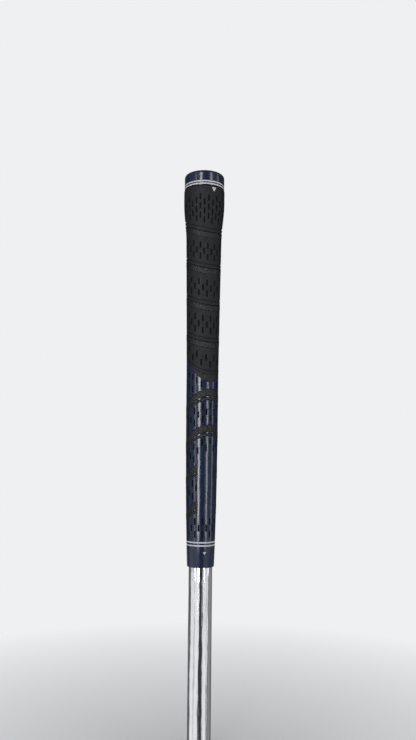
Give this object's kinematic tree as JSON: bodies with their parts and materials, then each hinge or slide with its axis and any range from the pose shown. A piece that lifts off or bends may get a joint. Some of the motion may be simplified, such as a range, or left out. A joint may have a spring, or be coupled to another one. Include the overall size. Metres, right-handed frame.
{
  "type": "golf grip on shaft butt",
  "caption": "Tapered rubber golf grip with a black corded upper half and a glossy navy lower half, fitted on the bare butt section of a chromed steel shaft.",
  "frame": {"origin": "centre of the shaft's cut end, on the shaft's axis", "axes": "+Z along the shaft's axis from the cut end to the cap; -Y is the front, where the alignment marks are"},
  "size_m": [0.0274, 0.0274, 0.387],
  "materials": {
    "shaft_chrome": "bright chromed steel tube",
    "grip_tape": "double-sided paper-backed tape",
    "core_rubber": "matte moulded rubber",
    "navy_rubber": "smooth glossy navy rubber",
    "white_paint": "satin white fill in moulded grooves",
    "cord_rubber": "matte charcoal rubber with brushed cord in it",
    "pebbled_rubber": "satin black rubber with a fine pebble"
  },
  "bodies": {
    "root": {"steel_shaft": "shaft_chrome", "grip_tape": "grip_tape", "core_sleeve": "core_rubber", "end_cap": "navy_rubber", "cap_ring_upper": "white_paint", "cap_ring_lower": "white_paint", "cap_arrow": "white_paint", "upper_sleeve": "cord_rubber", "upper_band_1": "pebbled_rubber", "upper_band_2": "pebbled_rubber", "upper_band_3": "pebbled_rubber", "upper_band_4": "pebbled_rubber", "transition_band": "pebbled_rubber", "lower_sleeve": "navy_rubber", "sweep_1_wide": "pebbled_rubber", "sweep_1_narrow": "pebbled_rubber", "sweep_2_wide": "pebbled_rubber", "sweep_2_narrow": "pebbled_rubber", "sweep_3_wide": "pebbled_rubber", "sweep_3_narrow": "pebbled_rubber", "sweep_4_wide": "pebbled_rubber", "sweep_4_narrow": "pebbled_rubber", "mouth_ring_upper": "white_paint", "mouth_ring_lower": "white_paint", "mouth_arrow": "white_paint"}
  },
  "joints": []
}
